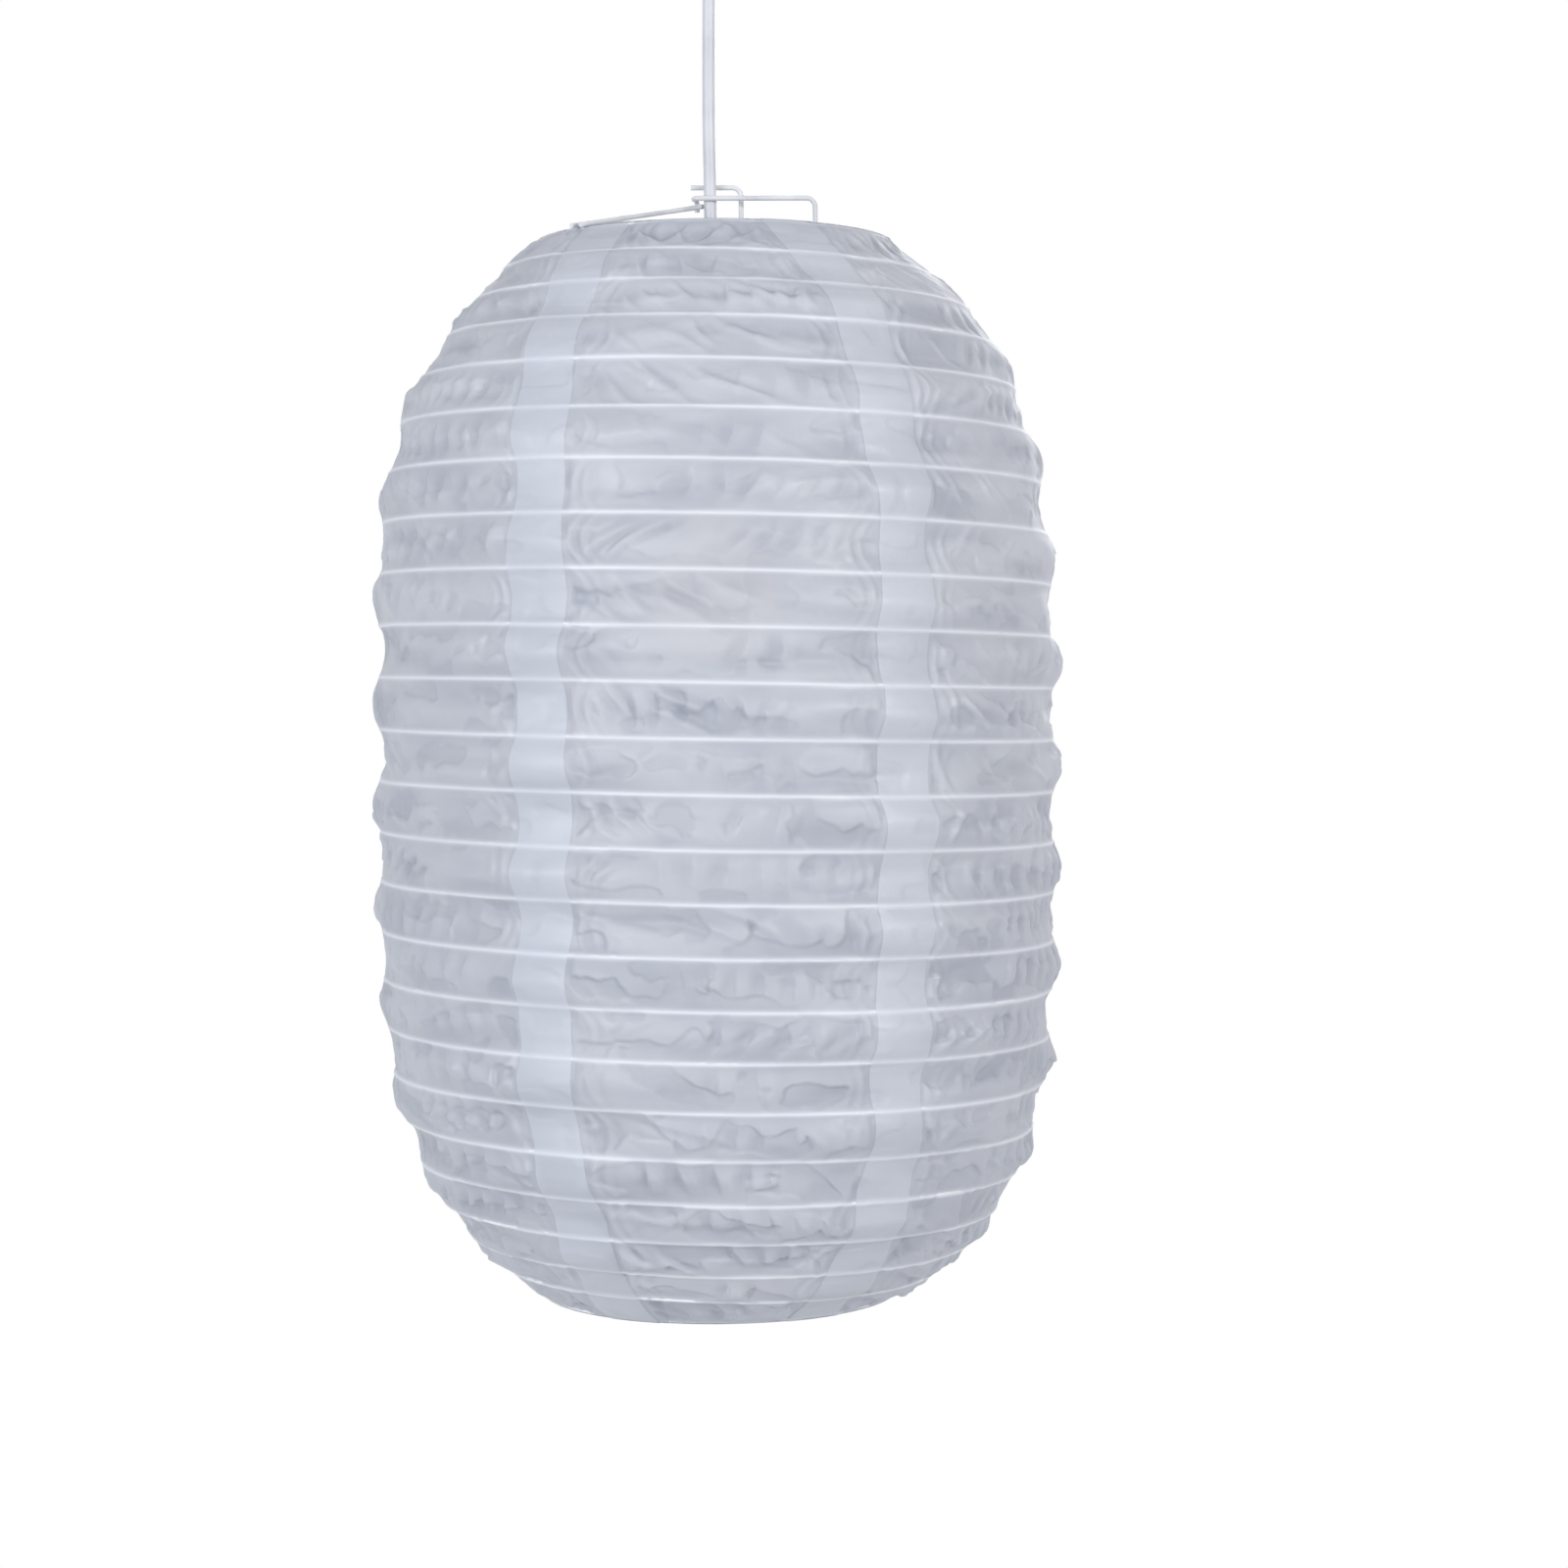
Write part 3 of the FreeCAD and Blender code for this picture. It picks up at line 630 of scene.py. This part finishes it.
def weave(shader):
    """The grain of a fine weave, about 0.4 mm across."""
    texture = shader.add("ShaderNodeTexVoronoi", feature="SMOOTH_F1")
    texture.inputs["Scale"].default_value = 2400
    shader.join(shader.place(), texture.inputs["Vector"])
    return texture.outputs["Distance"]


def nylon(name, colour, dark, pale, bright):
    """Thin translucent cloth, bright over ribs: pale on its crests and darker in its hollows
    as painted light and shade of the folds, and darker low down as painted shade.
    """
    shader = Shader(name)
    blotch = shader.noise(24, 5, stretch=(1, 1, 2.6))
    cloth = shader.tint(blotch, dark, colour, 0.42, 0.60)
    # Painted light and shade of the folds: the cloth turns pale on the crests, and the hollows
    # keep the darker colour.
    painted_fold_light = shader.remap(shader.value_of("crest_height"), 0.0, 0.55, -0.75 * MM, 0.75 * MM)
    cloth = shader.mix(painted_fold_light, cloth, pale)
    # Painted shade: from about a third of the way down, the cloth turns more and more towards
    # the dark colour down to the bottom.
    level = shader.remap(shader.value_of("cloth_level"), 0.0, 0.35, 0.35, 1.0)
    cloth = shader.mix(level, cloth, dark)
    cloth = shader.mix(shader.value_of("rib_nearness"), cloth, bright)
    shader.join(cloth, shader.surface.inputs["Base Color"])
    shader.set(IOR=1.5, Specular_IOR_Level=0.45, Sheen_Weight=0.15, Sheen_Roughness=0.4)
    rough = shader.remap(shader.noise(90, 3), 0.36, 0.52)
    shader.join(rough, shader.surface.inputs["Roughness"])
    fine = shader.noise(420, 3, stretch=(1, 1, 0.6))
    normal = shader.bump(fine, 0.25, 0.4 * MM)
    normal = shader.bump(weave(shader), 0.25, 0.12 * MM, normal)
    shader.join(normal, shader.surface.inputs["Normal"])
    through = shader.add("ShaderNodeBsdfTranslucent")
    shader.join(cloth, through.inputs["Color"])
    shader.join(normal, through.inputs["Normal"])
    blend = shader.add("ShaderNodeMixShader")
    blend.inputs[0].default_value = TRANSLUCENCY
    shader.join(shader.surface.outputs[0], blend.inputs[1])
    shader.join(through.outputs[0], blend.inputs[2])
    gaps = shader.add("ShaderNodeBsdfTransparent")
    open_weave = shader.add("ShaderNodeMixShader")
    open_weave.inputs[0].default_value = GAP_SHARE
    shader.join(blend.outputs[0], open_weave.inputs[1])
    shader.join(gaps.outputs[0], open_weave.inputs[2])
    shader.join(open_weave.outputs[0], shader.output.inputs["Surface"])
    return shader.material


def plain(name, colour, worn, rough, metal=0.0, grain=300):
    """Paint, plastic or metal with a fine grain and slightly uneven colour."""
    shader = Shader(name)
    uneven = shader.tint(shader.noise(60, 4), worn, colour, 0.35, 0.6)
    shader.join(uneven, shader.surface.inputs["Base Color"])
    roughness = shader.remap(shader.noise(150, 3), rough - 0.06, rough + 0.08)
    shader.join(roughness, shader.surface.inputs["Roughness"])
    shader.set(Metallic=metal)
    normal = shader.bump(shader.noise(grain, 3), 0.3, 0.05 * MM)
    shader.join(normal, shader.surface.inputs["Normal"])
    return shader.material


def bulb_glass():
    """Opal glass, faintly lit and warm."""
    shader = Shader("opal_glass")
    colour = shader.tint(shader.noise(40, 3), (0.56, 0.49, 0.38), (0.62, 0.55, 0.44))
    shader.join(colour, shader.surface.inputs["Base Color"])
    shader.set(Roughness=0.25)
    shader.set(Emission_Color=(1.0, 0.74, 0.42, 1), Emission_Strength=0.6)
    return shader.material


def dress(material, slot, *names):
    """Give CAD nodes their material."""
    for name in names:
        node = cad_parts[name]
        node.data.materials.clear()
        node.data.materials.append(material)
        node.data.polygons.foreach_set("use_smooth", [True] * len(node.data.polygons))


def dress_frame():
    ribs = [f"rib_{index:02d}" for index in range(1, BAND_COUNT)]
    wire = plain("coated_wire", (0.82, 0.83, 0.85), (0.72, 0.73, 0.75), rough=0.38)
    dress(wire, "rib_wire", "top_rim", "bottom_rim", *ribs)
    stretcher = plain(
        "stretcher_coating", (0.70, 0.71, 0.73), (0.56, 0.57, 0.60), rough=0.32
    )
    dress(
        stretcher, "frame_wire", "stretcher_front_arm", "stretcher_back_arm",
        "stretcher_cross_bar", "stretcher_left_leg", "rim_arm", "foot_bar",
        "foot_sleeve_right", "foot_sleeve_left",
    )
    holder = plain("holder_plastic", (0.74, 0.74, 0.73), (0.68, 0.68, 0.67), rough=0.45)
    dress(holder, "holder_plastic", "cord_stop", "socket_cap", "socket_shell", "socket_core")
    liner = plain(
        "plated_brass", (0.76, 0.66, 0.42), (0.62, 0.52, 0.30), rough=0.3, metal=1.0
    )
    dress(liner, "liner_metal", "socket_liner", "socket_contact")
    steel = plain(
        "zinc_plate", (0.66, 0.67, 0.69), (0.50, 0.51, 0.53), rough=0.35, metal=1.0
    )
    dress(steel, "eye_steel", "hanging_eye")
    cap = plain(
        "bulb_cap_metal", (0.74, 0.74, 0.76), (0.60, 0.60, 0.62), rough=0.28, metal=1.0
    )
    dress(cap, "bulb_metal", "bulb_cap")
    dress(bulb_glass(), "bulb_glass", "bulb_globe")


# ------------------------------------------------------------------ cord
CORD_DIAMETER = 4.5 * MM
# The cord's route, from inside the lampholder's cap up to the hanging eye.
CORD_ROUTE = (
    (0.0, 0.0, -0.157),
    (0.00005, 0.0, -0.096),
    (-0.0007, 0.0, -0.062),
    (0.0, 0.0, -0.0091),
)


def make_cord():
    curve = bpy.data.curves.new("pendant_cord", "CURVE")
    curve.dimensions = "3D"
    curve.bevel_depth = CORD_DIAMETER / 2
    curve.bevel_resolution = 8
    curve.use_fill_caps = True
    spline = curve.splines.new("NURBS")
    spline.points.add(len(CORD_ROUTE) - 1)
    for point, place in zip(spline.points, CORD_ROUTE):
        point.co = (*place, 1)
    spline.order_u = 3
    spline.use_endpoint_u = True
    spline.resolution_u = 12
    cord = link(bpy.data.objects.new("pendant_cord", curve))
    curve.materials.append(
        plain("cord_sheath", (0.62, 0.63, 0.66), (0.55, 0.56, 0.60), rough=0.42, grain=500)
    )
    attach(cord, "pendant")
    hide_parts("cord")


# ------------------------------------------------------------------ stage
STUDIO_COLOUR = (0.93, 0.95, 1.0)
STUDIO_STRENGTH = 0.52
FLOOR_HALF = 6.0
FLOOR_DROP = 0.9        # from the bottom rim to the floor


def white_to_camera(tree, dim):
    """A mix that is dim as a light, and takes its second input, a plain white,
    where the camera or a reflection sees it."""
    path = tree.nodes.new("ShaderNodeLightPath")
    seen = tree.nodes.new("ShaderNodeMath")
    seen.operation = "MAXIMUM"
    tree.links.new(path.outputs["Is Camera Ray"], seen.inputs[0])
    tree.links.new(path.outputs["Is Glossy Ray"], seen.inputs[1])
    also = tree.nodes.new("ShaderNodeMath")
    also.operation = "MAXIMUM"
    tree.links.new(seen.outputs[0], also.inputs[0])
    tree.links.new(path.outputs["Is Transmission Ray"], also.inputs[1])
    mix = tree.nodes.new("ShaderNodeMixShader")
    tree.links.new(also.outputs[0], mix.inputs[0])
    tree.links.new(dim, mix.inputs[1])
    return mix


def make_world():
    world = bpy.data.worlds.new("studio")
    bpy.context.scene.world = world
    world.use_nodes = True
    tree = world.node_tree
    soft = tree.nodes["Background"]
    soft.inputs["Color"].default_value = (*STUDIO_COLOUR, 1)
    soft.inputs["Strength"].default_value = STUDIO_STRENGTH
    white = tree.nodes.new("ShaderNodeBackground")
    white.inputs["Color"].default_value = (1, 1, 1, 1)
    white.inputs["Strength"].default_value = 1.0
    mix = white_to_camera(tree, soft.outputs[0])
    tree.links.new(white.outputs[0], mix.inputs[2])
    tree.links.new(mix.outputs[0], tree.nodes["World Output"].inputs["Surface"])


def make_floor():
    """A wide pale floor, well below the hanging lantern."""
    mesh = bpy.data.meshes.new("floor")
    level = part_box("bottom_rim")[0].z - FLOOR_DROP
    signs = [(-1, -1), (1, -1), (1, 1), (-1, 1)]
    corners = [(x * FLOOR_HALF, y * FLOOR_HALF, level) for x, y in signs]
    mesh.from_pydata(corners, [], [(0, 1, 2, 3)])
    floor = link(bpy.data.objects.new("floor", mesh))
    shader = Shader("pale_floor")
    colour = shader.tint(shader.noise(3, 2), (0.84, 0.84, 0.85), (0.88, 0.88, 0.88))
    shader.join(colour, shader.surface.inputs["Base Color"])
    shader.set(Roughness=0.8)
    white = shader.add("ShaderNodeEmission")
    white.inputs["Color"].default_value = (1, 1, 1, 1)
    mix = white_to_camera(shader.material.node_tree, shader.surface.outputs[0])
    shader.join(white.outputs[0], mix.inputs[2])
    shader.join(mix.outputs[0], shader.output.inputs["Surface"])
    mesh.materials.append(shader.material)


def add_lamp(name, place, target, width, power, colour):
    data = bpy.data.lights.new(name, "AREA")
    data.shape = "DISK"
    data.size = width
    data.energy = power
    data.color = colour
    lamp = link(bpy.data.objects.new(name, data))
    lamp.location = place
    lamp.rotation_mode = "QUATERNION"
    lamp.rotation_quaternion = (Vector(target) - Vector(place)).to_track_quat("-Z", "Y")


def make_lamps():
    middle = (AXIS[0], 0, TOP_Z - 0.19)
    add_lamp(
        "key", (1.3, -1.35, TOP_Z + 0.3), middle,
        width=0.6, power=16.5, colour=(1.0, 0.99, 0.98),
    )
    add_lamp(
        "fill", (-1.2, -1.4, TOP_Z + 0.05), middle,
        width=0.8, power=18, colour=(0.95, 0.97, 1.0),
    )
    add_lamp(
        "back", (0.3, 1.6, TOP_Z + 0.4), middle,
        width=1.4, power=14, colour=(0.97, 0.98, 1.0),
    )


# ------------------------------------------------------------------ build
def make_cloth():
    # dark is also the painted shade that darkens the cloth low down.
    # pale is the painted light on the crests of the folds.
    gore_cloth = nylon(
        "nylon", colour=(0.54, 0.56, 0.61), dark=(0.465, 0.485, 0.55),
        pale=(0.68, 0.70, 0.75), bright=(0.85, 0.87, 0.92),
    )
    tape_cloth = nylon(
        "seam_nylon", colour=(0.655, 0.685, 0.745), dark=(0.58, 0.61, 0.67),
        pale=(0.72, 0.745, 0.80), bright=(0.80, 0.83, 0.89),
    )
    for index in range(GORE_COUNT):
        fold_with_lantern(make_gore(index, gore_cloth))
        fold_with_lantern(make_tape(index, tape_cloth))


make_cord()
dress_frame()
make_cloth()
make_world()
make_floor()
make_lamps()
bpy.context.scene.view_settings.view_transform = "Standard"
